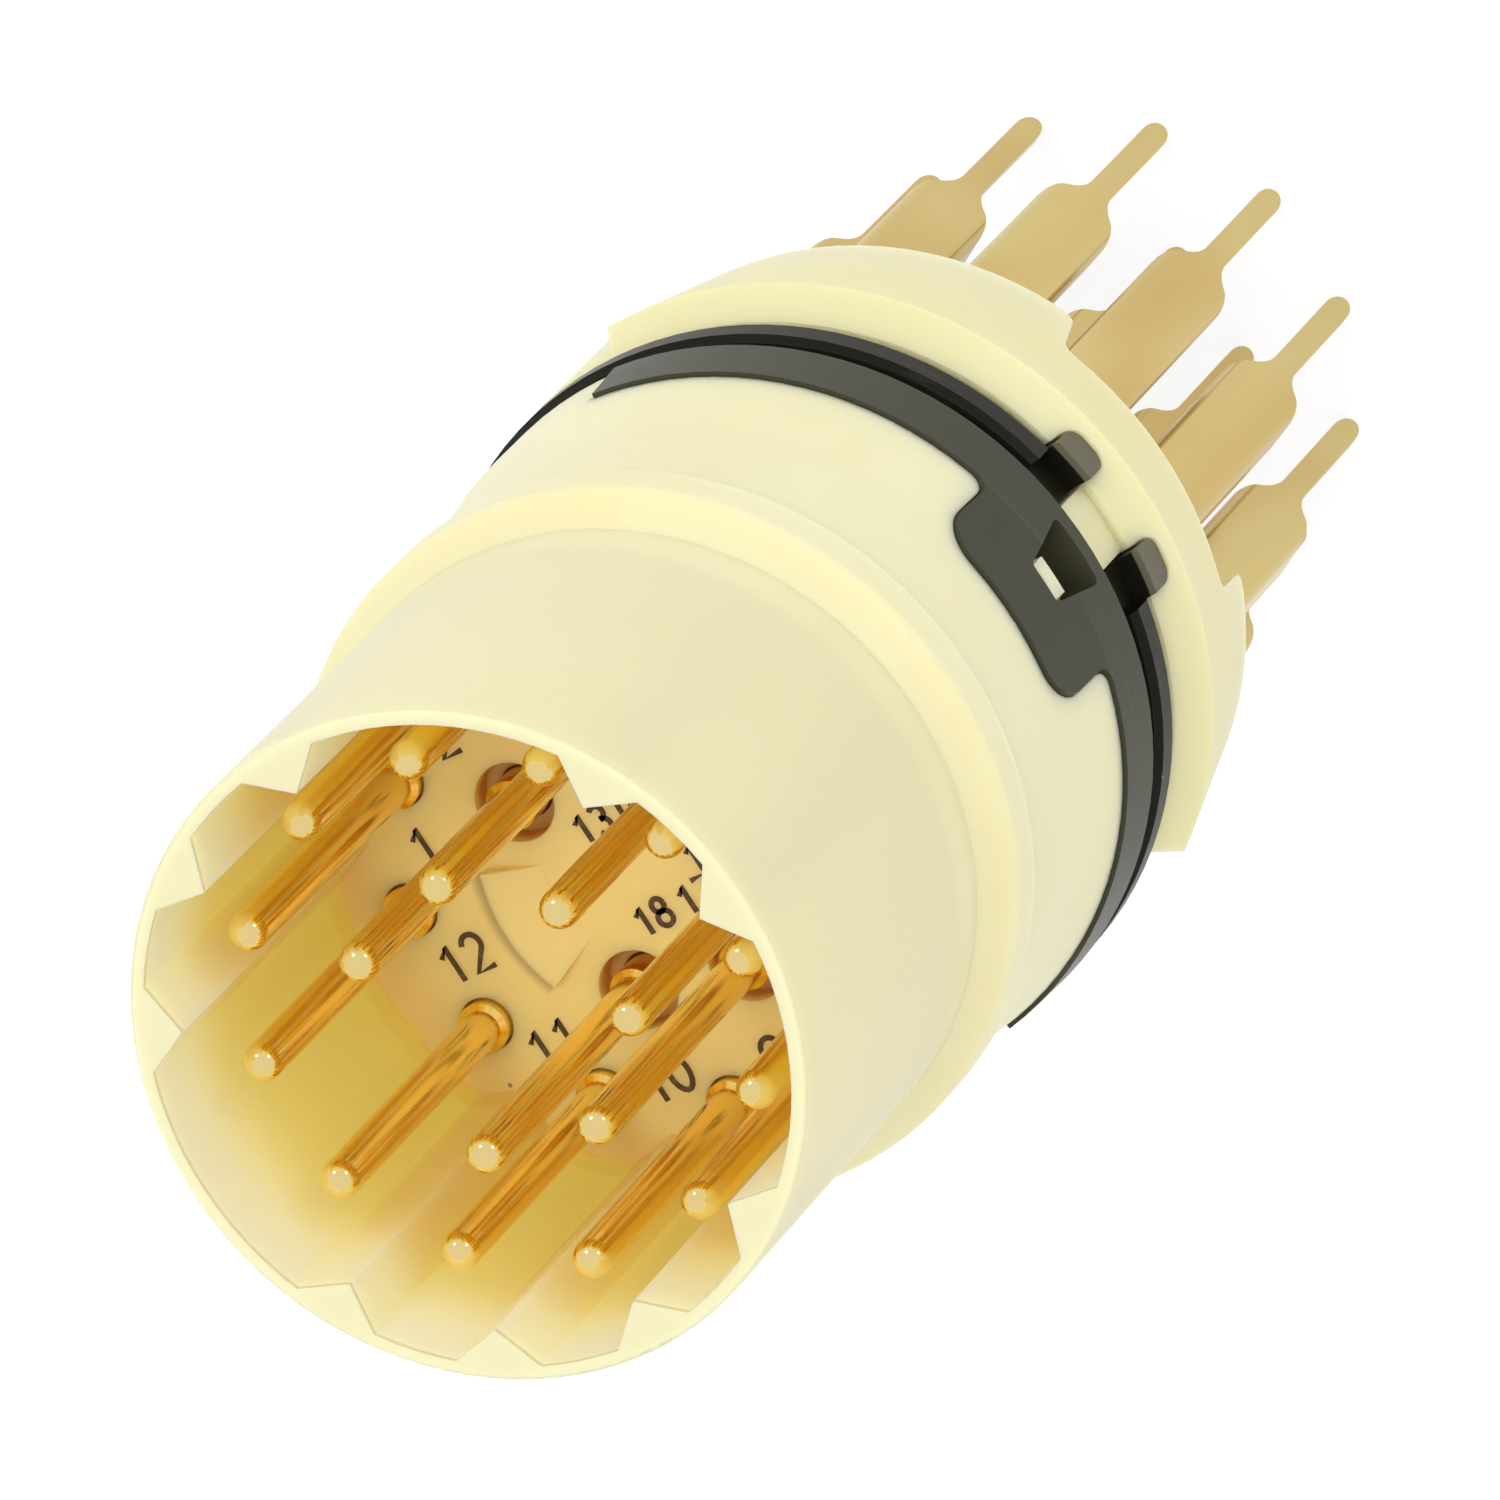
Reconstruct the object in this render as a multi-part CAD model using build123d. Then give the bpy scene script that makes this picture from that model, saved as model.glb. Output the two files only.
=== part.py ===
from build123d import *
import os

# driving dimensions, mm; z = 0 at the solder tail ends, +Z toward the mating face, key on +Y
outer_circle_d = 13.2      # pitch circle of contacts 1 to 12
circle_spacing = 3.04      # from there in to the circle of positions 13 to 19
outer_count = 12
inner_count = 7
blank_number = 19          # moulded shut, opposite the key
parting_z = 22.25          # joint between the two insulators; the other heights are counted from it
ring_gap = 0.05            # radial and axial play of the ring on its seat
past = 1.0                 # how far a cutting tool reaches beyond what it cuts

# contacts in their cavities
barrel_d = 1.9
barrel_play = 0.05
collar_stop_d = 2.5        # the retaining collar between the two insulators
collar_stop_height = 0.9
channel_width = 2.2
channel_depth = 1.5
channel_round = 0.34
channel_play = 0.06
channel_slit = 0.6
sheet = 0.25
shoulder_z = 6.95          # below this only the channel's front panel runs on
neck_length = 2.0
tail_width = 0.68
tail_point = 0.8           # length of its rounded end
stop_pocket_d = collar_stop_d + 2 * barrel_play
inner_circle_d = outer_circle_d - 2 * circle_spacing

# outside diameters step out or in from the spigot, which clears the outer contacts
spigot_wall = 0.6
seat_depth = 0.7           # the step that the keyed ring sits on
shoulder_step = 0.225
heel_step = 0.3            # the body flares out by this much toward the ring
collar_step = 0.55
collar_wall = 0.37
spigot_d = outer_circle_d + stop_pocket_d + 2 * spigot_wall
body_d = spigot_d + 2 * seat_depth
shoulder_d = body_d + 2 * shoulder_step
heel_d = body_d + 2 * heel_step
collar_d = body_d - 2 * collar_step
collar_bore_d = collar_d - 2 * collar_wall

# keyed ring
band_step = 0.47
flange_step = 0.5          # at its rear edge
proud = 0.12               # the flange's front edge and the tab stand this far out of the body
groove_step = 0.05
ring_band_d = body_d + 2 * band_step
ring_flange_d = body_d + 2 * flange_step
groove_d = body_d + 2 * groove_step
band_height = 1.5
groove_height = 0.35
groove_slope = 0.35
flange_height = 1.7
tab_height = 2.75
groove_rear_z = parting_z + band_height
groove_front_z = groove_rear_z + groove_height
flange_rear_z = groove_front_z + groove_slope
flange_front_z = flange_rear_z + flange_height
tab_top_z = flange_front_z + tab_height
flange_span = 165
flange_edge = 0.18
band_bevel = 0.3           # the band's rear edge
tab_width = 5.3
tab_corner = 1.15
tab_root = 0.5
window_margin = 1.8        # from the tab's front edge
window_height = 2.15
window_front_width = 1.15
window_rear_width = 2.0
window_corner = 0.2
window_front_z = tab_top_z - window_margin
window_rear_z = window_front_z - window_height
key_slot_width = 2.1
key_slot_height = 1.95
key_slot_top_z = parting_z + key_slot_height
leg_width = 1.2
leg_length = 0.62
leg_rise = 0.7             # how far the legs stand out of the body's diameter
leg_corner = 0.4
leg_step = 0.45            # the legs are as deep as the groove above this height
leg_end_z = parting_z - leg_length
leg_step_z = parting_z + leg_step
pocket_play = 0.05         # play around the tab and the legs in their pockets
nose_height = 0.6          # latch nose that shows in the window
key_step = 0.1

# front insulator
body_length = 3.7          # from the tab to the shoulder
shoulder_slope = 1.2
shoulder_height = 0.8
shoulder_round = 0.35
face_drop = 0.1            # contact face below the shoulder's top
collar_length = 12.25
rim_round = 0.12
shoulder_rear_z = tab_top_z + body_length
shoulder_bottom_z = shoulder_rear_z + shoulder_slope
shoulder_top_z = shoulder_bottom_z + shoulder_height
face_z = shoulder_top_z - face_drop
collar_top_z = face_z + collar_length
rib_height = 0.95          # polarising ribs of the mating cavity
rib_base = 2.2
rib_pitch = 30
missing_ribs = (60, 150, 270)
inner_pocket_d = 2.1       # sunk ring around each inner pin
inner_pocket_depth = 0.8
pad_offset = 0.74          # raised arc that marks the blank position, outside the inner circle
pad_span = 46
pad_rise = 0.4
pad_width = 1.5
pad_radius = inner_circle_d / 2 + pad_offset

# mating pins
pin_d = 1.0
tip_margin = 2.45          # from the rim down to the centre of an outer pin's round tip
inner_lead = 0.55          # the inner pins stand this much further forward
pin_base_d = 1.32
pin_base_rise = 0.35       # the thicker pin base shows this far above the contact face
barrel_margin = 2.7
pin_tip_z = collar_top_z - tip_margin
barrel_front_z = face_z - barrel_margin

# rear retainer
post_d = 3.0               # central snap post
post_length = 6.0
post_ridge = 0.12
post_ridge_height = 1.0
front_step = 0.3
ridge_step = 1.0           # on the key side; the far side is turned down
far_side_drop = 0.5
skirt_end_step = 0.1
retainer_front_d = body_d + 2 * front_step
ridge_d = body_d + 2 * ridge_step
far_side_d = ridge_d - 2 * far_side_drop
skirt_end_d = body_d + 2 * skirt_end_step
relief_d = body_d          # cut back to this beside the key side, to the right of the key
relief_span = 66
ridge_height = 0.95
skirt_length = 6.2
skirt_depth = 2.4          # from its end to the plate, which is also the floor of the notch
skirt_wall = 0.9
ridge_z = parting_z - ridge_height
skirt_end_z = parting_z - skirt_length
plate_rear_z = skirt_end_z + skirt_depth
notch_width = 7.3
notch_slope = 0.2          # each side of the notch leans out by this much
notch_corner = 0.4
mouth_corner = 0.5
key_play = 0.1
key_width = key_slot_width - 2 * key_play
key_top_z = key_slot_top_z - key_play
key_top_d = body_d + 2 * key_step

# all strips face this side of the key, and each has turned a little more in its cavity
strip_turn = 18
contact_turn = {1: 5, 2: -4, 3: 6, 4: 7, 5: -1, 6: -3, 7: 2, 8: 6, 9: 4, 10: -6, 12: 3,
                13: -5, 14: 6, 16: -4, 17: 4, 18: 7}

spigot_r = spigot_d / 2
ring_bore_d = spigot_d + 2 * ring_gap
corner = Vector(channel_width / 2 - channel_round, channel_depth / 2 - channel_round)
channel_reach = corner.length + channel_round
passage_d = 2 * (channel_reach + channel_play)
stop_low_z = parting_z - collar_stop_height
ring_rear_z = parting_z + ring_gap
neck_z = shoulder_z - neck_length


def contact_numbers():
    every = range(1, outer_count + inner_count + 1)
    return [number for number in every if number != blank_number]


def is_outer(number):
    return number <= outer_count


def place_of(number):
    """Where a contact position lies. The numbers run clockwise as seen on the mating face."""
    if is_outer(number):
        radius = outer_circle_d / 2
        angle = 270 - 360 / outer_count * (number - 0.5)
    else:
        radius = inner_circle_d / 2
        angle = 270 - 360 / inner_count * (number - blank_number)
    return Rot(0, 0, angle) * Pos(radius, 0, 0) * Rot(0, 0, -angle)


def disc(diameter, low, high):
    return Pos(0, 0, low) * extrude(Circle(diameter / 2), high - low)


def tube(outer, inner, low, high):
    return disc(outer, low, high) - disc(inner, low, high)


def turned(points, span=360, middle=90):
    """Revolve an outline of (radius, z) points through a span that is centred on an angle."""
    outline = Plane.XZ * make_face(Polyline(*points, close=True))
    return Rot(0, 0, middle - span / 2) * revolve(outline, Axis.Z, span)


def band(outer, inner, low, high, span, middle):
    corners = (inner / 2, low), (outer / 2, low), (outer / 2, high), (inner / 2, high)
    return turned(corners, span, middle)


def key_side(outline):
    """Push a drawing in the XZ plane out through the wall on the key side."""
    return extrude(Plane.XZ * outline, -body_d)


def upright(width, low, high, across=0):
    return Pos(across, (low + high) / 2) * Rectangle(width, high - low)


def at_each_contact(tool):
    """Copies of a tool at every contact position."""
    return [place_of(number) * tool for number in contact_numbers()]


def insulator_shell():
    """The turned form: mating collar, shoulder, body and the spigot for the ring."""
    collar_r = collar_d / 2
    shoulder_r = shoulder_d / 2
    body_r = body_d / 2
    shell = turned([
        (0, parting_z),
        (spigot_r, parting_z),
        (spigot_r, flange_front_z + ring_gap),
        (heel_d / 2, flange_front_z + ring_gap),
        (body_r, tab_top_z),
        (body_r, shoulder_rear_z - shoulder_r + body_r),
        (shoulder_r, shoulder_rear_z),
        (shoulder_r, shoulder_bottom_z),
        (collar_r, shoulder_top_z),
        (collar_r, collar_top_z),
        (0, collar_top_z),
    ])
    crest = [edge for edge in shell.edges() if abs(edge.center().Z - shoulder_bottom_z) < 0.01]
    shell = fillet(crest, shoulder_round)
    rim = shell.edges().filter_by(GeomType.CIRCLE).sort_by(Axis.Z)[-1]
    return fillet(rim, rim_round)


def mating_cavity():
    """The bore of the collar, less its polarising ribs."""
    bore_r = collar_bore_d / 2
    root = (bore_r ** 2 - (rib_base / 2) ** 2) ** 0.5
    behind = bore_r + rib_height
    rib = make_face(Polyline((bore_r - rib_height, 0), (root, rib_base / 2), (behind, rib_base / 2),
                             (behind, -rib_base / 2), (root, -rib_base / 2), close=True))
    outline = Circle(bore_r)
    for angle in range(0, 360, rib_pitch):
        if angle not in missing_ribs:
            outline -= Rot(0, 0, angle) * rib
    return Pos(0, 0, face_z) * extrude(outline, collar_top_z - face_z + past)


def blank_mark():
    """The raised arc on the contact face at the blank position, falling toward the centre."""
    return turned([
        (pad_radius - pad_width, face_z - pad_rise),
        (pad_radius, face_z - pad_rise),
        (pad_radius, face_z + pad_rise),
        (pad_radius - pad_width, face_z),
    ], pad_span, 270)


def make_front_insulator():
    body = insulator_shell() - mating_cavity() + blank_mark()

    # the body reaches further back where the ring has no flange
    body += band(heel_d, spigot_d - past, groove_front_z + ring_gap, flange_front_z + ring_gap,
                 360 - flange_span - 2, 270)

    # pocket for the ring's tab, and the latch nose in the tab's window
    body -= key_side(tab_outline(pocket_play)) - disc(spigot_d, parting_z, collar_top_z)
    nose_top_z = window_front_z - pocket_play
    nose = key_side(upright(window_front_width - 2 * pocket_play, nose_top_z - nose_height, nose_top_z))
    body += nose & tube(heel_d, spigot_d - past, parting_z, collar_top_z)

    # stepped cavities: a guide for the pin's base, then the barrel's bore from the rear
    guide = disc(pin_base_d + 2 * barrel_play, barrel_front_z, collar_top_z)
    bore = disc(barrel_d + 2 * barrel_play, parting_z - past, barrel_front_z + barrel_play)
    body -= at_each_contact(guide + bore)
    sunk = disc(inner_pocket_d, face_z - inner_pocket_depth, collar_top_z)
    body -= [place_of(number) * sunk for number in contact_numbers() if not is_outer(number)]

    # blind bore for the retainer's snap post
    body -= disc(post_d + 2 * ring_gap, parting_z - past, parting_z + post_length + ring_gap)
    body -= disc(post_d + 2 * (post_ridge + ring_gap), ridge_low_z() - ring_gap,
                 ridge_low_z() + post_ridge_height + ring_gap)
    return body


def ridge_low_z():
    return parting_z + post_length - 2 * post_ridge_height


def leg_outline(play=0.0):
    """The two legs that stand astride the key, drawn in the XZ plane."""
    top = parting_z + past
    legs = Sketch()
    for side in (-1, 1):
        across = side * (key_slot_width + leg_width) / 2
        leg = upright(leg_width + 2 * play, leg_end_z - play, top, across)
        legs += fillet(leg.vertices().sort_by(Axis.Y)[:2], leg_corner)
    return legs


def tab_outline(play=0.0):
    """The tab above the flange, its root rounded into it, or with play the pocket it sits in."""
    foot = upright(tab_width + 4 * tab_root, flange_rear_z, flange_front_z + play)
    tab = foot + upright(tab_width + 2 * play, flange_rear_z, tab_top_z + play)
    tab = fillet(tab.vertices().sort_by(Axis.Y)[-2:], tab_corner + play)
    roots = [corner for corner in tab.vertices()
             if abs(corner.Y - flange_front_z - play) < 0.01 and abs(corner.X) < tab_width / 2 + tab_root]
    return fillet(roots, tab_root - play)


def make_keyed_ring():
    band_r = ring_band_d / 2
    bore_r = ring_bore_d / 2
    groove_r = groove_d / 2
    flange_r = ring_flange_d / 2
    front_r = heel_d / 2 + proud

    # the whole ring behind, and a taller flange on the key side
    ring = turned([
        (bore_r, ring_rear_z), (band_r - band_bevel, ring_rear_z), (band_r, ring_rear_z + 2 * band_bevel),
        (band_r, groove_rear_z - flange_edge), (band_r - flange_edge, groove_rear_z),
        (groove_r, groove_rear_z), (groove_r, groove_front_z), (bore_r, groove_front_z),
    ])
    ring += turned([
        (bore_r, groove_front_z - 0.1), (groove_r, groove_front_z - 0.1), (groove_r, groove_front_z),
        (flange_r, flange_rear_z), (front_r, flange_front_z), (bore_r, flange_front_z),
    ], flange_span)

    # the tab follows the body's flare
    ring += key_side(tab_outline()) & turned([
        (bore_r, flange_rear_z), (flange_r, flange_rear_z), (front_r, flange_front_z),
        (body_d / 2 + proud, tab_top_z), (bore_r, tab_top_z),
    ])

    # the legs, as deep as the groove above their ends
    legs = key_side(leg_outline() + upright(2 * leg_width + key_slot_width, parting_z, leg_step_z))
    ring += legs & tube(body_d + 2 * leg_rise, ring_bore_d, leg_end_z, leg_step_z)
    recess = key_side(upright(2 * leg_width + key_slot_width, leg_step_z, groove_front_z))
    ring -= recess & tube(ridge_d + past, groove_d, leg_step_z, groove_front_z)

    # the window for the latch nose and the slot for the retainer's key
    half_front = window_front_width / 2
    half_rear = window_rear_width / 2
    window = make_face(Polyline((-half_rear, window_rear_z), (half_rear, window_rear_z),
                                (half_front, window_front_z), (-half_front, window_front_z), close=True))
    ring -= key_side(fillet(window.vertices(), window_corner))
    ring -= key_side(upright(key_slot_width, leg_end_z - past, key_slot_top_z))
    return ring


def notch_outline():
    """The notch in the skirt behind the key, drawn in the XZ plane."""
    half = notch_width / 2
    mouth = half + notch_slope
    notch = make_face(Polyline((-half, plate_rear_z), (half, plate_rear_z), (mouth, skirt_end_z),
                               (-mouth, skirt_end_z), close=True))
    notch = fillet(notch.vertices().sort_by(Axis.Y)[-2:], notch_corner)
    notch += upright(2 * mouth + 4 * mouth_corner, skirt_end_z - past, skirt_end_z)
    lips = [corner for corner in notch.vertices()
            if abs(corner.Y - skirt_end_z) < 0.01 and abs(corner.X) < mouth + 0.01]
    return fillet(lips, mouth_corner)


def make_rear_retainer():
    end_r = skirt_end_d / 2
    bore_r = end_r - skirt_wall
    body = turned([
        (0, parting_z), (retainer_front_d / 2, parting_z), (ridge_d / 2, ridge_z), (end_r, skirt_end_z),
        (bore_r, skirt_end_z), (bore_r, plate_rear_z), (0, plate_rear_z),
    ])
    body -= key_side(notch_outline()) - disc(2 * bore_r, skirt_end_z - past, parting_z)
    body -= band(ridge_d + past, far_side_d, skirt_end_z - past, parting_z + past, 180, 270)
    body -= band(ridge_d + past, relief_d, skirt_end_z - past, parting_z + past, relief_span, 0)

    # pockets for the ring's legs, and the key between them
    body -= key_side(leg_outline(pocket_play)) - disc(spigot_d, leg_end_z - past, parting_z + past)
    key = key_side(upright(key_width, parting_z - 0.5, key_top_z))
    body += key & tube(key_top_d, ring_bore_d, parting_z - 0.5, key_top_z)

    # snap post that holds the two insulators together
    post_r = post_d / 2
    post_top_z = parting_z + post_length
    body += turned([
        (0, parting_z - 0.5), (post_r, parting_z - 0.5), (post_r, ridge_low_z()),
        (post_r + post_ridge, ridge_low_z() + 0.2), (post_r + post_ridge, ridge_low_z() + 0.5),
        (post_r, ridge_low_z() + post_ridge_height), (post_r, post_top_z), (0, post_top_z),
    ])

    # each contact's collar sits in a pocket, and its channel runs out through the plate
    passage = disc(passage_d, skirt_end_z, parting_z + past)
    stop = disc(stop_pocket_d, stop_low_z - ring_gap, parting_z + past)
    body -= at_each_contact(passage + stop)
    return body


def contact_barrel(tip_z):
    """The turned front of a contact: round tip, pin, thicker base, barrel and retaining collar."""
    pin_r = pin_d / 2
    base_r = pin_base_d / 2
    barrel_r = barrel_d / 2
    base_top_z = face_z + pin_base_rise
    side = Polyline((0, stop_low_z), (collar_stop_d / 2, stop_low_z), (collar_stop_d / 2, parting_z),
                    (barrel_r, parting_z), (barrel_r, barrel_front_z), (base_r, barrel_front_z),
                    (base_r, base_top_z - 0.1), (pin_r, base_top_z), (pin_r, tip_z))
    tip = RadiusArc((pin_r, tip_z), (0, tip_z + pin_r), -pin_r)
    axis_line = Line((0, tip_z + pin_r), (0, stop_low_z))
    return revolve(Plane.XZ * make_face([side, tip, axis_line]), Axis.Z)


def strip_outline():
    """The formed strip seen from the front: round tail end, narrow tail, bottle shoulders, full width."""
    tail_half = tail_width / 2
    full_half = channel_width / 2
    middle = (tail_half + full_half) / 2, (neck_z + shoulder_z) / 2
    # two equal arcs, both upright at their outer ends, join the tail to the full width
    widening = full_half - tail_half
    bend_r = ((shoulder_z - neck_z) ** 2 + widening ** 2) / (4 * widening)
    half = make_face([
        EllipticalCenterArc((0, tail_point), tail_half, tail_point, -90, arc_size=90),
        Line((tail_half, tail_point), (tail_half, neck_z)),
        RadiusArc((tail_half, neck_z), middle, bend_r),
        RadiusArc(middle, (full_half, shoulder_z), -bend_r),
        Polyline((full_half, shoulder_z), (full_half, stop_low_z), (0, stop_low_z), (0, 0)),
    ])
    return half + mirror(half, Plane.YZ)


def contact_strip():
    """The rear of a contact: a slit channel whose front panel alone runs on and narrows to the tail."""
    section = RectangleRounded(channel_width, channel_depth, channel_round)
    section -= RectangleRounded(channel_width - 2 * sheet, channel_depth - 2 * sheet, channel_round - sheet)
    section -= Pos(0, -channel_depth / 2) * Rectangle(channel_slit, channel_depth)
    strip = extrude(section, stop_low_z) & extrude(Plane.XZ * strip_outline(), channel_depth, both=True)
    back = Pos(0, -channel_round, shoulder_z / 2) * Box(2 * channel_width, channel_depth, shoulder_z)
    return strip - back


def make_contact(number):
    tip_z = pin_tip_z if is_outer(number) else pin_tip_z + inner_lead
    contact = contact_barrel(tip_z) + contact_strip()
    return place_of(number) * Rot(0, 0, strip_turn + contact_turn.get(number, 0)) * contact


def save(shape, name):
    export_step(shape, f"parts/{name}.step")
    print(name, "done")


os.makedirs("parts", exist_ok=True)
save(make_front_insulator(), "front_insulator")
save(make_keyed_ring(), "keyed_ring")
save(make_rear_retainer(), "rear_retainer")
for number in contact_numbers():
    save(make_contact(number), f"contact_{number:02d}")
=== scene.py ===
import bpy
import math
import numpy as np
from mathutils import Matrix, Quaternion, Vector


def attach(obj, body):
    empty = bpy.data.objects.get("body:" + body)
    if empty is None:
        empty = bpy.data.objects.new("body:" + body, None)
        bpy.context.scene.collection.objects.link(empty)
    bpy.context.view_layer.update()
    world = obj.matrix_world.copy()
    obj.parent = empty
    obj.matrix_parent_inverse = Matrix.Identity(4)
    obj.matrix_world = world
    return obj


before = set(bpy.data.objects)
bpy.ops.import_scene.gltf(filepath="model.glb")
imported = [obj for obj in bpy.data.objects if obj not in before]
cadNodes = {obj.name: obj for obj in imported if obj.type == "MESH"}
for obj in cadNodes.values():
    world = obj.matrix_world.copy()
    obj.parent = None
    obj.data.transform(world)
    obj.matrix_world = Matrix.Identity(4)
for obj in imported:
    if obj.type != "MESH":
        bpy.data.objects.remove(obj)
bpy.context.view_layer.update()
mm = 0.001
print("frame loaded,", len(cadNodes), "nodes")


# camera: it looks at the aim point from this side, and is rolled until the pins point to the lower left
camera = {
    "aim": (0.474, -1.578, 24.331),   # mm
    "distance": 414.095,              # mm
    "azimuth": 105.18,                # degrees from +X
    "elevation": 59.857,
    "roll": -136.583,
    "lens": 396.6,                    # mm
    "sensor": 36.0,
    "clip": (0.01, 10.0),             # m
}


def makeCamera(c):
    # place = aim + distance * (cos e cos a, cos e sin a, sin e), then a turn about the line of sight
    a, e = math.radians(c["azimuth"]), math.radians(c["elevation"])
    toward = Vector((math.cos(e) * math.cos(a), math.cos(e) * math.sin(a), math.sin(e)))
    data = bpy.data.cameras.new("photoCamera")
    data.lens, data.sensor_width, data.sensor_fit = c["lens"], c["sensor"], "HORIZONTAL"
    data.clip_start, data.clip_end = c["clip"]
    cam = bpy.data.objects.new("photoCamera", data)
    cam.location = (Vector(c["aim"]) + c["distance"] * toward) * mm
    cam.rotation_mode = "QUATERNION"
    turn = Quaternion((0, 0, 1), math.radians(c["roll"]))
    cam.rotation_quaternion = (-toward).to_track_quat("-Z", "Y") @ turn
    bpy.context.collection.objects.link(cam)
    bpy.context.scene.camera = cam
    return toward


toCamera = makeCamera(camera)
print("camera placed")


# short calls for material nodes

class Board:
    # one material's node tree, with short calls for the nodes that are used here

    def __init__(self, name):
        self.material = bpy.data.materials.new(name)
        self.material.use_nodes = True
        self.tree = self.material.node_tree
        self.tree.nodes.clear()
        self.output = self.tree.nodes.new("ShaderNodeOutputMaterial")
        self.place = self.add("ShaderNodeTexCoord").outputs["Object"]
        split = self.add("ShaderNodeSeparateXYZ", {"Vector": self.place})
        self.y, self.z = split.outputs["Y"], split.outputs["Z"]

    def add(self, kind, sockets={}, **settings):
        made = self.tree.nodes.new(kind)
        for key, value in settings.items():
            setattr(made, key, value)
        for key, value in sockets.items():
            if isinstance(value, bpy.types.NodeSocket):
                self.tree.links.new(value, made.inputs[key])
            else:
                made.inputs[key].default_value = value
        return made

    def math(self, operation, a, b=0.0, clamp=False):
        return self.add("ShaderNodeMath", {0: a, 1: b}, operation=operation, use_clamp=clamp).outputs[0]

    def vector(self, operation, sockets):
        return self.add("ShaderNodeVectorMath", sockets, operation=operation)

    def times(self, a, b):
        return self.math("MULTIPLY", a, b)

    def rest(self, value):
        # what is left of 1
        return self.math("SUBTRACT", 1.0, value)

    def rise(self, value, low, high):
        # 0 below low, 1 above high, smooth between
        return self.add("ShaderNodeMapRange", {"Value": value, "From Min": low, "From Max": high},
                        interpolation_type="SMOOTHSTEP").outputs["Result"]

    def riseMm(self, value, span):
        # the same for a radius or a height, with both ends in mm
        return self.rise(value, span[0] * mm, span[1] * mm)

    def betweenMm(self, value, span, soft):
        # 1 inside the span, with soft ends, all in mm
        low, high = span
        up = self.riseMm(value, (low - soft, low + soft))
        down = self.riseMm(value, (high - soft, high + soft))
        return self.math("SUBTRACT", up, down, clamp=True)

    def mix(self, factor, a, b):
        colour = self.add("ShaderNodeMix", {"Factor": factor}, data_type="RGBA")
        first, second, result = colour.inputs[6], colour.inputs[7], colour.outputs[2]   # the colour sockets
        for socket, value in ((first, a), (second, b)):
            if isinstance(value, bpy.types.NodeSocket):
                self.tree.links.new(value, socket)
            else:
                socket.default_value = (*value, 1)
        return result

    def noise(self, scale, detail=3, vector=None, rough=0.5):
        made = self.add("ShaderNodeTexNoise", {"Scale": scale, "Detail": detail, "Roughness": rough,
                                               "Vector": vector or self.place})
        return made.outputs["Fac"]

    def stretched(self, scale):
        return self.add("ShaderNodeMapping", {"Vector": self.place, "Scale": scale}).outputs["Vector"]

    def radius(self):
        # the distance from the Z axis
        flat = self.vector("MULTIPLY", {0: self.place, 1: (1, 1, 0)}).outputs[0]
        return self.vector("LENGTH", {0: flat}).outputs["Value"]

    def spread(self, value, middle, span):
        # a value from 0 to 1 carried to a little under and a little over the middle
        ends = {"Value": value, "To Min": middle + span[0], "To Max": middle + span[1]}
        return self.add("ShaderNodeMapRange", ends).outputs["Result"]

    def bump(self, height, strength, distance):
        # the distance in mm
        heights = {"Height": height, "Strength": strength, "Distance": distance * mm}
        return self.add("ShaderNodeBump", heights).outputs[0]

    def specks(self, scale, size, rarity=0.985):
        # small round dots, one here and there: close to a cell's point, and only in cells with a high number
        cells = self.add("ShaderNodeTexVoronoi", {"Scale": scale, "Vector": self.place})
        number = self.add("ShaderNodeSeparateColor", {"Color": cells.outputs["Color"]}).outputs[0]
        near = self.math("LESS_THAN", cells.outputs["Distance"], size)
        return self.times(near, self.math("GREATER_THAN", number, rarity))

    def stroke(self, centre, along, length, width):
        # 1 on a short line through the centre: both the way along it and the way off it are small
        unit = Vector(along).normalized()
        off = self.vector("SUBTRACT", {0: self.place, 1: tuple(v * mm for v in centre)}).outputs[0]
        far = self.vector("DOT_PRODUCT", {0: off, 1: tuple(unit)}).outputs["Value"]
        foot = self.vector("SCALE", {0: tuple(unit), "Scale": far}).outputs[0]
        side = self.vector("DISTANCE", {0: off, 1: foot}).outputs["Value"]
        endFade, sideFade = (0.4, 0.5), (0.3, 0.6)   # where it fades, as shares of the length and the width
        ends = self.rest(self.riseMm(self.math("ABSOLUTE", far), [share * length for share in endFade]))
        thin = self.rest(self.riseMm(side, [share * width for share in sideFade]))
        return self.times(ends, thin)

    def finish(self, **sockets):
        names = {"colour": "Base Color", "rough": "Roughness", "metal": "Metallic", "normal": "Normal",
                 "through": "Subsurface Weight", "depth": "Subsurface Scale", "reach": "Subsurface Radius",
                 "level": "Specular IOR Level", "ior": "IOR"}
        shader = self.add("ShaderNodeBsdfPrincipled", {names[k]: v for k, v in sockets.items()})
        self.tree.links.new(shader.outputs[0], self.output.inputs["Surface"])
        return self.material


# finishes: noise scales are per metre, places are in mm on the part's own axis

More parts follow.
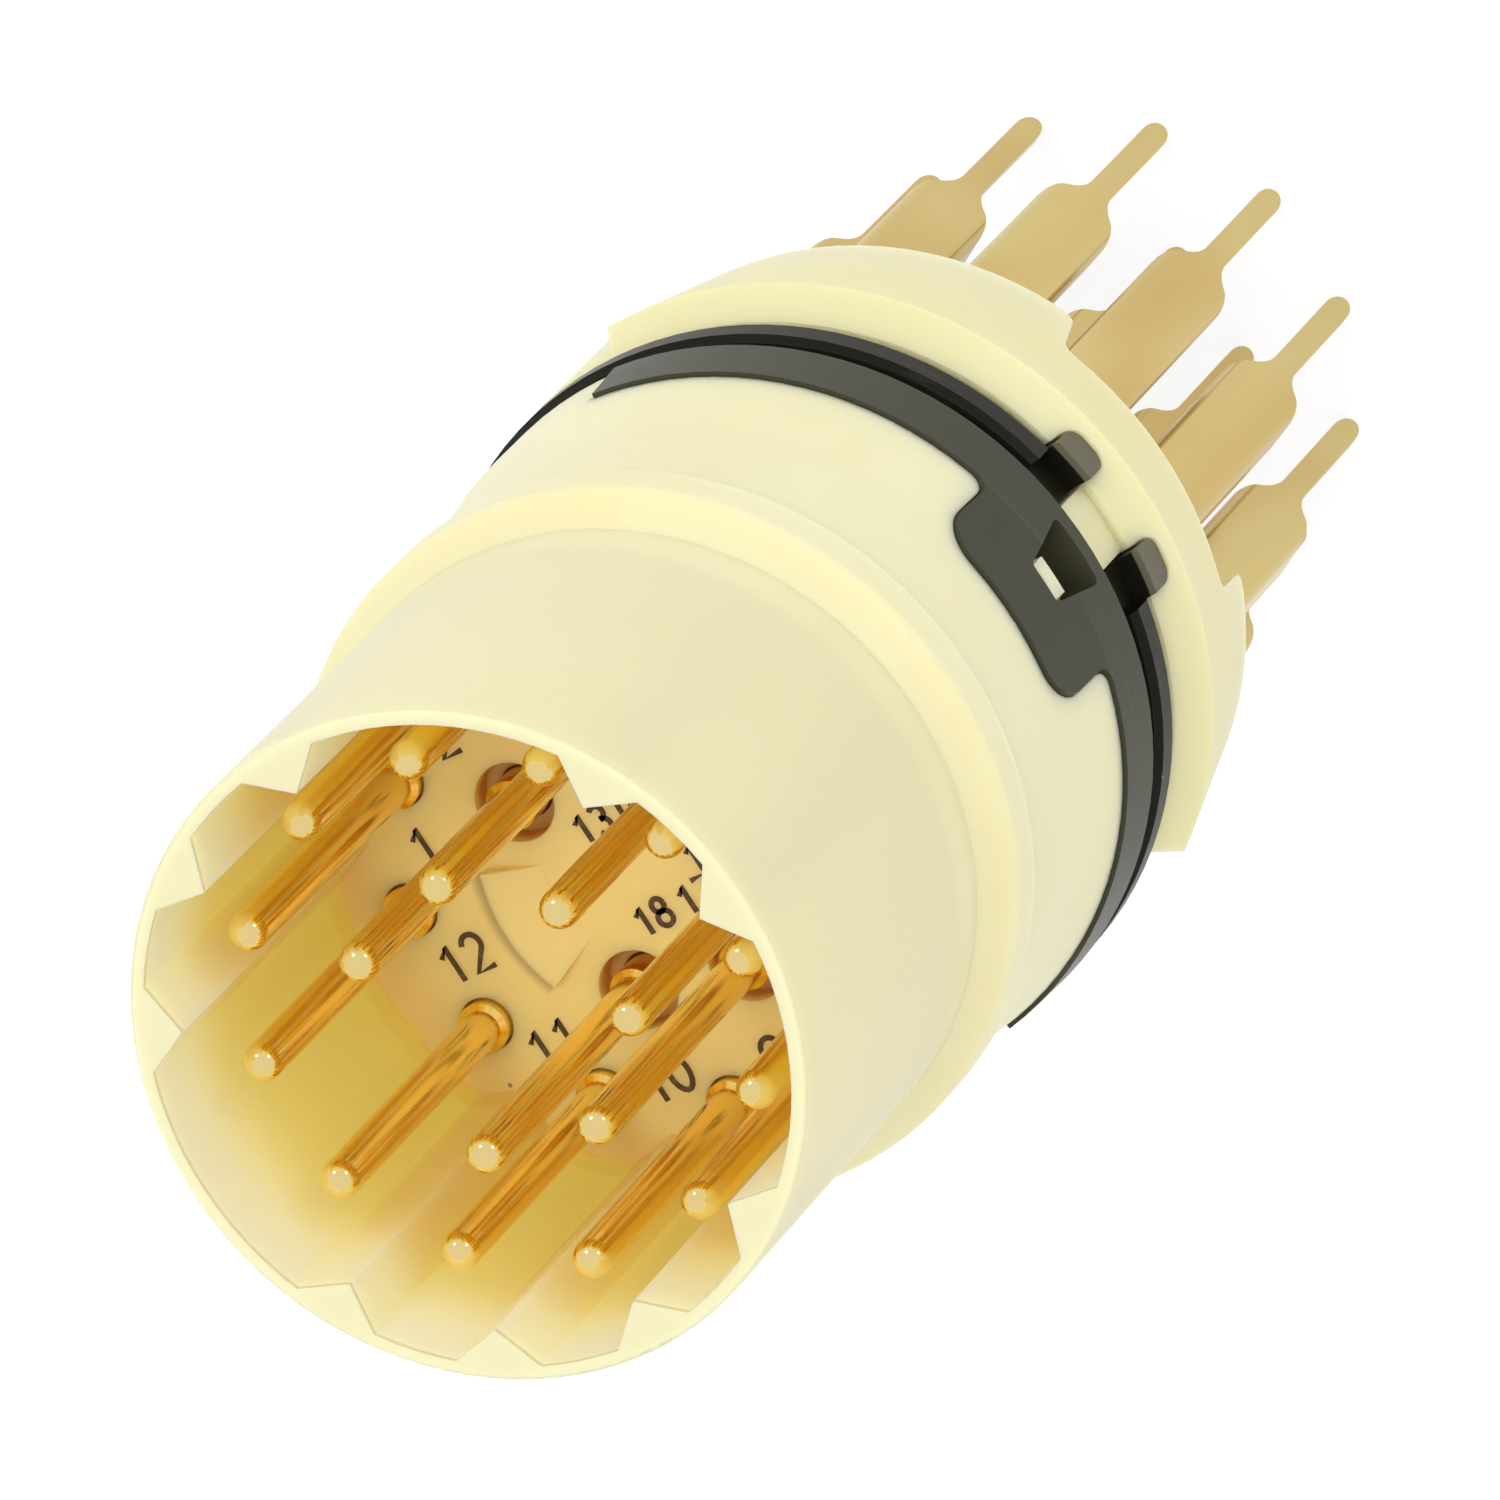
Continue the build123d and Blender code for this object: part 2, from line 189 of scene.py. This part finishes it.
creamPlastic = {
    "colour": (0.735, 0.695, 0.430),
    "pale": (0.755, 0.725, 0.475),
    "flow": 160,                           # the slow change between those two
    "flowSpan": (0.35, 0.65),
    "outside": (8.40, 8.55),               # the radius at which the inside gives way to the outside
    # painted shade: a darker, yellower band on the shoulder's slope
    "shoulder": (0.730, 0.665, 0.360),
    "shoulderBand": (33.75, 34.45),        # heights
    "shoulderSoft": 0.25,
    "shoulderShare": 0.45,
    "collar": (0.660, 0.620, 0.390),       # painted shade: the mating collar's outside darker than the body, holding back the light that comes through its thin wall
    "collarFrom": (35.2, 36.4),
    "collarShare": 0.7,
    "mouth": (0.970, 0.920, 0.660),        # painted glow: the bore's wall near the rim, lit up as by light through the thin collar
    "warmWall": (1.000, 0.805, 0.340),     # painted reflection: the gold pins' light on the wall further down between the pins
    "warmBelow": (41.5, 46.4),
    # painted reflection: the gold pins' light on the contact face
    "contactFace": (0.900, 0.745, 0.290),
    "faceBelow": (35.1, 35.6),
    "foot": (0.330, 0.240, 0.090),         # painted shadow: a dark line along the foot of the blank position's raised arc, where its shade falls on the face
    "footRadius": 4.30,
    "footWidth": 0.38,
    "footSpan": 46.0,                      # degrees, centred opposite the key
    "footEndSoft": 0.01,                   # as a difference of the cosine
    "footFadeShare": 0.6,
    "footEdgeShare": 0.4,                  # of the narrow edge, which is the darkest
    "footEdge": (-0.02, 0.114),            # from the radius
    "footEdgeSoft": 0.03,
    "deep": (0.780, 0.430, 0.105),         # painted shade down in the sunk rings round the inner pins
    "deepBelow": (33.9, 34.45),
    "deepWithin": (8.0, 8.2),
    # painted shade: the rim's top darker than the body's cream, holding back the bright light from overhead
    "rim": (0.600, 0.580, 0.370),
    "rimFrom": (46.55, 46.68),
    "speck": (0.420, 0.330, 0.180),
    "speckScale": 900,
    "speckSize": 0.055,                    # as a share of a cell
    "rough": 0.42,
    "roughSpan": (-0.05, 0.07),
    "grain": 0.10,
    "grainScale": 4200,
    "grainDepth": 0.02,                    # mm
    "through": 0.8,                        # how much light goes through the surface
    "depth": 0.0011,                       # m
    "reach": (1.0, 0.92, 0.70),
    "ior": 1.5,
}


def footOfArc(b, c, r):
    # painted shadow: a line along a circle, dark at its inner edge and fading outward, on the side opposite
    # the key, standing in for the raised arc's shade
    start = c["footRadius"]
    edge = b.betweenMm(r, [start + off for off in c["footEdge"]], c["footEdgeSoft"])
    fading = b.betweenMm(r, (start, start + c["footWidth"]), c["footWidth"] / 2)
    reach = math.cos(math.radians(c["footSpan"] / 2))
    facing = b.math("DIVIDE", b.times(b.y, -1.0), r)          # cosine of the angle from -Y
    both = b.math("ADD", b.times(fading, c["footFadeShare"]), b.times(edge, c["footEdgeShare"]))
    return both, b.rise(facing, reach, reach + c["footEndSoft"])


def makeCreamPlastic(c):
    b = Board("creamPlastic")
    flow = b.noise(c["flow"])
    colour = b.mix(b.rise(flow, *c["flowSpan"]), c["colour"], c["pale"])
    r = b.radius()
    outside = b.riseMm(r, c["outside"])
    # painted shade on the shoulder's slope
    shoulder = b.times(outside, b.betweenMm(b.z, c["shoulderBand"], c["shoulderSoft"]))
    colour = b.mix(b.times(shoulder, c["shoulderShare"]), colour, c["shoulder"])
    # painted shade on the collar's outside
    collar = b.times(outside, b.riseMm(b.z, c["collarFrom"]))
    colour = b.mix(b.times(collar, c["collarShare"]), colour, c["collar"])
    # painted light: the bore's wall glows near the rim and turns golden from there down to the contact face,
    # as painted reflection of the gold pins
    inside = b.rest(outside)
    warm = b.times(inside, b.rest(b.riseMm(b.z, c["warmBelow"])))
    colour = b.mix(inside, colour, b.mix(warm, c["mouth"], c["warmWall"]))
    low = b.rest(b.riseMm(b.z, c["faceBelow"]))
    # painted reflection: the contact face golden from the gold pins' light
    colour = b.mix(b.times(inside, low), colour, c["contactFace"])
    # painted shadow of the raised arc on the face beside its foot
    shade, opposite = footOfArc(b, c, r)
    colour = b.mix(b.times(shade, b.times(opposite, low)), colour, c["foot"])
    # painted shade in the sunk rings round the inner pins
    sunk = b.times(b.rest(b.riseMm(r, c["deepWithin"])), b.rest(b.riseMm(b.z, c["deepBelow"])))
    colour = b.mix(sunk, colour, c["deep"])
    # painted shade on the rim's top
    colour = b.mix(b.riseMm(b.z, c["rimFrom"]), colour, c["rim"])
    colour = b.mix(b.specks(c["speckScale"], c["speckSize"]), colour, c["speck"])
    grain = b.bump(b.noise(c["grainScale"], detail=1), c["grain"], c["grainDepth"])
    return b.finish(colour=colour, rough=b.spread(flow, c["rough"], c["roughSpan"]), normal=grain,
                    through=c["through"], depth=c["depth"], reach=c["reach"], ior=c["ior"])


retainerPlastic = {
    "colour": (0.710, 0.670, 0.390),
    # painted shade: the rearward-facing cone yellower
    "cone": (0.730, 0.675, 0.350),
    "coneBand": (18.4, 21.2),              # heights
    "coneSoft": 0.5,
    # painted light: a paler band near the retainer's end; the same colour is also the pale side of the slow
    # random change
    "edge": (0.740, 0.715, 0.470),
    "edgeBand": (15.0, 16.5),
    "edgeSoft": 0.35,
    "flow": 190,
    "flowSpan": (0.4, 0.7),
    "flowShare": 0.35,
    "speck": (0.450, 0.360, 0.200),
    "speckScale": 800,
    "speckSize": 0.05,
    "rough": 0.40,
    "roughSpan": (-0.05, 0.07),
    "grain": 0.10,
    "grainScale": 4200,
    "grainDepth": 0.02,                    # mm
    "through": 0.8,
    "depth": 0.0009,                       # m
    "reach": (1.0, 0.92, 0.70),
    "ior": 1.5,
}


def makeRetainerPlastic(c):
    b = Board("retainerPlastic")
    flow = b.noise(c["flow"])
    # painted shade on the cone
    colour = b.mix(b.betweenMm(b.z, c["coneBand"], c["coneSoft"]), c["colour"], c["cone"])
    # painted light: the paler band near the retainer's end
    colour = b.mix(b.betweenMm(b.z, c["edgeBand"], c["edgeSoft"]), colour, c["edge"])
    colour = b.mix(b.times(b.rise(flow, *c["flowSpan"]), c["flowShare"]), colour, c["edge"])
    colour = b.mix(b.specks(c["speckScale"], c["speckSize"]), colour, c["speck"])
    grain = b.bump(b.noise(c["grainScale"], detail=1), c["grain"], c["grainDepth"])
    return b.finish(colour=colour, rough=b.spread(flow, c["rough"], c["roughSpan"]), normal=grain,
                    through=c["through"], depth=c["depth"], reach=c["reach"], ior=c["ior"])


ringPlastic = {
    # the ring's one black plastic in lit and shaded copies, as painted light and shade: darkest on the band,
    # which holds back its sheen, lighter on the flange, lightest on the legs' outer faces
    "band": (0.008, 0.007, 0.004),
    "legs": (0.120, 0.110, 0.075),
    "legsFrom": (9.69, 9.74),              # radii: only the legs stand out past the band
    "flange": (0.045, 0.045, 0.028),
    "flangeFrom": (23.9, 24.2),            # heights
    # painted shade in the groove between flange and band
    "groove": (0.018, 0.018, 0.012),
    "grooveBand": (23.75, 24.15),
    "grooveSoft": 0.06,
    "scuff": (0.160, 0.140, 0.095),
    "scuffScale": 1500,
    "scuffStretch": (0.12, 0.12, 1.6),     # fine scuffs run round the ring
    "scuffSpan": (0.62, 0.74),
    "scuffShare": 0.16,
    "scratch": (0.620, 0.500, 0.360),
    "scratchPlace": (6.25, 7.40, 23.55),   # mm, on the band to the right of the tab
    "scratchAlong": (0.55, -0.45, -0.70),
    "scratchLength": 0.34,
    "scratchWidth": 0.05,
    "flow": 260,
    "rough": 0.34,
    "roughSpan": (-0.08, 0.10),
    "grain": 0.12,
    "grainScale": 3800,
    "grainDepth": 0.02,                    # mm
    "level": 0.13,
    "ior": 1.5,
}


def makeRingPlastic(c):
    b = Board("ringPlastic")
    flow = b.noise(c["flow"], detail=4)
    # painted light and shade: lit and shaded copies of the ring's black, by radius and height
    colour = b.mix(b.riseMm(b.radius(), c["legsFrom"]), c["band"], c["legs"])
    colour = b.mix(b.riseMm(b.z, c["flangeFrom"]), colour, c["flange"])
    # painted shade in the ring's groove
    colour = b.mix(b.betweenMm(b.z, c["grooveBand"], c["grooveSoft"]), colour, c["groove"])
    scuff = b.noise(c["scuffScale"], vector=b.stretched(c["scuffStretch"]), rough=0.6)
    colour = b.mix(b.times(b.rise(scuff, *c["scuffSpan"]), c["scuffShare"]), colour, c["scuff"])
    mark = b.stroke(c["scratchPlace"], c["scratchAlong"], c["scratchLength"], c["scratchWidth"])
    colour = b.mix(mark, colour, c["scratch"])
    grain = b.bump(b.noise(c["grainScale"], detail=1), c["grain"], c["grainDepth"])
    return b.finish(colour=colour, rough=b.spread(flow, c["rough"], c["roughSpan"]), normal=grain,
                    level=c["level"], ior=c["ior"])


contactGold = {
    "pin": (1.000, 0.695, 0.190),
    "pinLight": (1.000, 0.785, 0.280),
    "pinFrom": (21.5, 23.0),               # heights
    # painted reflection: the tips paler gold than the pins, as the white around them shows in their rounded
    # ends
    "tip": (0.960, 0.740, 0.310),
    "tipFrom": (43.70, 43.90),
    "tail": (0.590, 0.460, 0.175),
    "tailWarm": (0.540, 0.380, 0.125),
    "streakScale": 2600,
    "streakStretch": (1, 1, 0.04),         # drawn lines along the contact
    "streakSpan": (0.45, 0.70),
    "streakShare": 0.4,
    "streakRough": 0.06,
    "streakBump": 0.005,
    "streakDepth": 0.01,                   # mm
    "patchScale": 300,
    "patchStretch": (1, 1, 0.35),
    "patchSpan": (0.38, 0.70),
    "pinRough": 0.19,
    "tipRough": 0.09,
    "tailRough": 0.26,
}


def makeContactGold(c):
    b = Board("contactGold")
    streak = b.noise(c["streakScale"], vector=b.stretched(c["streakStretch"]), rough=0.6)
    patch = b.noise(c["patchScale"], detail=1, vector=b.stretched(c["patchStretch"]))
    front = b.riseMm(b.z, c["pinFrom"])
    tip = b.riseMm(b.z, c["tipFrom"])
    pin = b.mix(b.times(b.rise(streak, *c["streakSpan"]), c["streakShare"]), c["pin"], c["pinLight"])
    # painted reflection: the paler gold on the tips
    pin = b.mix(tip, pin, c["tip"])
    tail = b.mix(b.rise(patch, *c["patchSpan"]), c["tail"], c["tailWarm"])
    rough = b.spread(front, 0, (c["tailRough"], c["pinRough"]))
    rough = b.math("ADD", rough, b.times(b.math("SUBTRACT", streak, 0.5), c["streakRough"]))
    rough = b.math("SUBTRACT", rough, b.times(tip, c["pinRough"] - c["tipRough"]))
    return b.finish(colour=b.mix(front, tail, pin), rough=rough, metal=1.0,
                    normal=b.bump(streak, c["streakBump"], c["streakDepth"]))


markingInk = {
    "colour": (0.075, 0.045, 0.022),
    "worn": (0.170, 0.115, 0.060),
    "wearScale": 5200,
    "wearSpan": (0.5, 0.75),
    "rough": 0.6,
}


def makeMarkingInk(c):
    b = Board("markingInk")
    wear = b.rise(b.noise(c["wearScale"]), *c["wearSpan"])
    return b.finish(colour=b.mix(wear, c["colour"], c["worn"]), rough=c["rough"])


finishes = {
    "front_insulator": makeCreamPlastic(creamPlastic),
    "rear_retainer": makeRetainerPlastic(retainerPlastic),
    "keyed_ring": makeRingPlastic(ringPlastic),
    "contact": makeContactGold(contactGold),
}
for name, node in cadNodes.items():
    for slot in node.material_slots:
        slot.material = finishes["contact" if name.startswith("contact") else name]
print("finishes on the nodes")


# contact numbers, printed on the contact face

contactNumbers = {
    "height": 1.0,          # mm
    "innerHeight": 0.75,
    "digitWidth": 0.6,      # this and the next, times the height
    "advance": 0.76,        # from digit to digit
    "stroke": 0.145,        # mm
    "faceZ": 34.5,
    "stand": 0.02,          # how far the print stands above the face
    "outerCount": 12,
    "outerRadius": 5.85,
    "outerStep": 30.0,      # degrees
    "outerFirst": 240.0,    # the angle where number 1 stands
    "innerRadius": 1.55,
    "innerAngles": {13: 208.0, 14: 165.0, 15: 118.0, 16: 68.0, 17: 24.0, 18: -28.0},
    "reading": 90.0,        # degrees, the direction that every number reads in
}


def arc(cx, cy, rx, ry, start, end, count=18):
    # an ellipse's points from one angle to another
    t = np.radians(np.linspace(start, end, count))
    return np.column_stack([cx + rx * np.cos(t), cy + ry * np.sin(t)])


def line(*points):
    # straight runs from point to point
    return np.array(points, float)


# each digit's strokes in a box that is 0.6 wide and 1 high
digitStrokes = {
    "0": [arc(.30, .5, .27, .5, 90, 450)],
    "1": [line((.12, .74), (.36, 1), (.36, 0))],
    "2": [np.vstack([arc(.29, .71, .26, .29, 165, -30), line((.03, 0)), line((.58, 0))])],
    "3": [arc(.27, .75, .25, .25, 145, -90), arc(.27, .27, .28, .27, 90, -145)],
    "4": [line((.46, 0), (.46, 1), (.02, .3), (.62, .3))],
    "5": [np.vstack([line((.54, 1), (.12, 1)), arc(.27, .32, .29, .32, 125, -145)])],
    "6": [arc(.30, .3, .27, .3, 0, 360), arc(.62, .3, .59, .72, 105, 180)],
    "7": [line((.03, 1), (.57, 1), (.2, 0))],
    "8": [arc(.30, .76, .22, .24, 0, 360), arc(.30, .27, .27, .27, 0, 360)],
    "9": [arc(.30, .7, .27, .3, 0, 360), arc(-.02, .7, .59, .72, -75, 0)],
}


def ribbon(points, width, low, high):
    # each point gets four corners, half the width to each side of the path at the low and the high level
    along = np.gradient(points, axis=0)
    along /= np.linalg.norm(along, axis=1)[:, None]
    side = np.column_stack([-along[:, 1], along[:, 0]]) * width / 2
    n = len(points)
    corners = np.zeros((n, 4, 3))
    for k, (s, z) in enumerate(((1, low), (-1, low), (-1, high), (1, high))):
        corners[:, k, :2] = points + s * side
        corners[:, k, 2] = z
    i = np.arange(n - 1)[:, None] * 4
    k = np.arange(4)[None, :]
    walls = np.stack([i + 4 + k, i + 4 + (k + 1) % 4, i + (k + 1) % 4, i + k], axis=-1).reshape(-1, 4)
    ends = np.array([[0, 1, 2, 3], [4 * n - 1, 4 * n - 2, 4 * n - 3, 4 * n - 4]])
    return corners.reshape(-1, 3), np.vstack([walls, ends])


def makeContactNumbers(c):
    # every number is centred at its own radius and angle on the face, and all read the same way
    outer = range(1, c["outerCount"] + 1)
    places = {n: (c["outerRadius"], c["outerFirst"] - c["outerStep"] * (n - 1)) for n in outer}
    places.update({n: (c["innerRadius"], angle) for n, angle in c["innerAngles"].items()})
    turn = math.radians(c["reading"])
    right = np.array([math.cos(turn), math.sin(turn)])
    up = np.array([-right[1], right[0]])
    verts, faces, count = [], [], 0
    for number, (radius, angle) in places.items():
        centre = radius * np.array([math.cos(math.radians(angle)), math.sin(math.radians(angle))])
        text = str(number)
        size = c["height"] if number in outer else c["innerHeight"]
        start = -(c["advance"] * (len(text) - 1) + c["digitWidth"]) / 2
        for place, digit in enumerate(text):
            for stroke in digitStrokes[digit]:
                flat = (stroke + (start + place * c["advance"], -0.5)) * size
                path = centre + flat[:, :1] * right + flat[:, 1:] * up
                v, f = ribbon(path, c["stroke"], c["faceZ"] - c["stand"], c["faceZ"] + c["stand"])
                verts.append(v)
                faces.append(f + count)
                count += len(v)
    mesh = bpy.data.meshes.new("contact_numbers")
    mesh.from_pydata((np.vstack(verts) * mm).tolist(), [], np.vstack(faces).tolist())
    mesh.validate()
    mesh.materials.append(makeMarkingInk(markingInk))
    numbers = bpy.data.objects.new("contact_numbers", mesh)
    bpy.context.collection.objects.link(numbers)
    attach(numbers, "root")


makeContactNumbers(contactNumbers)
print("contact numbers printed")


# floor and light

studio = {
    "floorSize": 3.0,          # m
    "floorColour": (0.80, 0.80, 0.79),
    "floorGlow": 0.80,         # how much of the floor's white doesn't depend on the lamps
    "floorShade": 0.26,        # and how much does, which keeps the shadow
    "skyColour": (1, 0.995, 0.98),
    "skyLow": 0.36,            # strength near the horizon
    "skyFrom": 0.20,           # the height of the direction where it starts to rise
    "skyHigh": 1.95,           # and overhead, where it shines into the mating cavity
    "lamps": {
        # watts, size in mm, distance in mm, whether metal shows it,
        # and the direction as weights of camera, picture up and picture left
        "keyLamp": (0.072, 75, 380, True, (0.62, 0.50, 0.58)),
        "fillLamp": (0.10, 75, 380, True, (0.70, 0.46, -0.46)),
        "cavityLamp": (0.40, 300, 420, False, (0.88, 0.06, 0.34)),
    },
}


def seenPlainly(tree):
    # 1 where a surface is seen by the camera, in a reflection or through a clear piece
    path = tree.nodes.new("ShaderNodeLightPath")
    seen = path.outputs["Is Camera Ray"]
    for kind in ("Is Glossy Ray", "Is Transmission Ray"):
        either = tree.nodes.new("ShaderNodeMath")
        either.operation = "MAXIMUM"
        tree.links.new(seen, either.inputs[0])
        tree.links.new(path.outputs[kind], either.inputs[1])
        seen = either.outputs[0]
    return seen


def makeFloor(c):
    # a flat square at the height of the tail ends
    s = c["floorSize"] / 2
    mesh = bpy.data.meshes.new("floor")
    mesh.from_pydata([(-s, -s, 0), (s, -s, 0), (s, s, 0), (-s, s, 0)], [], [(0, 1, 2, 3)])
    floor = bpy.data.objects.new("floor", mesh)
    bpy.context.collection.objects.link(floor)
    b = Board("paleFloor")
    shade = c["floorShade"]
    plain = b.add("ShaderNodeBsdfDiffuse", {"Color": (*c["floorColour"], 1)}).outputs[0]
    soft = b.add("ShaderNodeBsdfDiffuse", {"Color": (shade, shade, shade, 1)}).outputs[0]
    glow = b.add("ShaderNodeEmission", {"Color": (1, 1, 1, 1), "Strength": c["floorGlow"]}).outputs[0]
    white = b.add("ShaderNodeAddShader", {0: soft, 1: glow}).outputs[0]
    both = b.add("ShaderNodeMixShader", {0: seenPlainly(b.tree), 1: plain, 2: white}).outputs[0]
    b.tree.links.new(both, b.output.inputs["Surface"])
    mesh.materials.append(b.material)


def makeSky(c):
    # the strength rises from the horizon to overhead with the height of the direction
    world = bpy.data.worlds.new("softSky")
    world.use_nodes = True
    tree = world.node_tree
    tree.nodes.clear()
    out = tree.nodes.new("ShaderNodeOutputWorld")
    way = tree.nodes.new("ShaderNodeTexCoord")
    split = tree.nodes.new("ShaderNodeSeparateXYZ")
    level = tree.nodes.new("ShaderNodeMapRange")
    level.interpolation_type = "SMOOTHSTEP"
    level.inputs["From Min"].default_value = c["skyFrom"]
    level.inputs["To Min"].default_value = c["skyLow"]
    level.inputs["To Max"].default_value = c["skyHigh"]
    plain = tree.nodes.new("ShaderNodeBackground")
    plain.inputs["Color"].default_value = (*c["skyColour"], 1)
    white = tree.nodes.new("ShaderNodeBackground")
    white.inputs["Strength"].default_value = 1.0
    mix = tree.nodes.new("ShaderNodeMixShader")
    tree.links.new(way.outputs["Generated"], split.inputs[0])
    tree.links.new(split.outputs["Z"], level.inputs["Value"])
    tree.links.new(level.outputs["Result"], plain.inputs["Strength"])
    tree.links.new(seenPlainly(tree), mix.inputs[0])
    tree.links.new(plain.outputs[0], mix.inputs[1])
    tree.links.new(white.outputs[0], mix.inputs[2])
    tree.links.new(mix.outputs[0], out.inputs["Surface"])
    bpy.context.scene.world = world


def makeLamp(name, watts, size, distance, shows, weights):
    # the lamp stands off the aim point along camera, picture up and picture left, and faces that point
    cam = bpy.context.scene.camera.rotation_quaternion
    up, left = cam @ Vector((0, 1, 0)), cam @ Vector((-1, 0, 0))
    away = (weights[0] * toCamera + weights[1] * up + weights[2] * left).normalized()
    data = bpy.data.lights.new(name, "AREA")
    data.energy, data.size, data.shape = watts, size * mm, "DISK"
    lamp = bpy.data.objects.new(name, data)
    lamp.visible_glossy = shows
    lamp.location = (Vector(camera["aim"]) + distance * away) * mm
    lamp.rotation_euler = (-away).to_track_quat("-Z", "Y").to_euler()
    bpy.context.collection.objects.link(lamp)


makeFloor(studio)
makeSky(studio)
for name, settings in studio["lamps"].items():
    makeLamp(name, *settings)
bpy.context.scene.view_settings.view_transform = "Standard"
print("floor and lights placed")
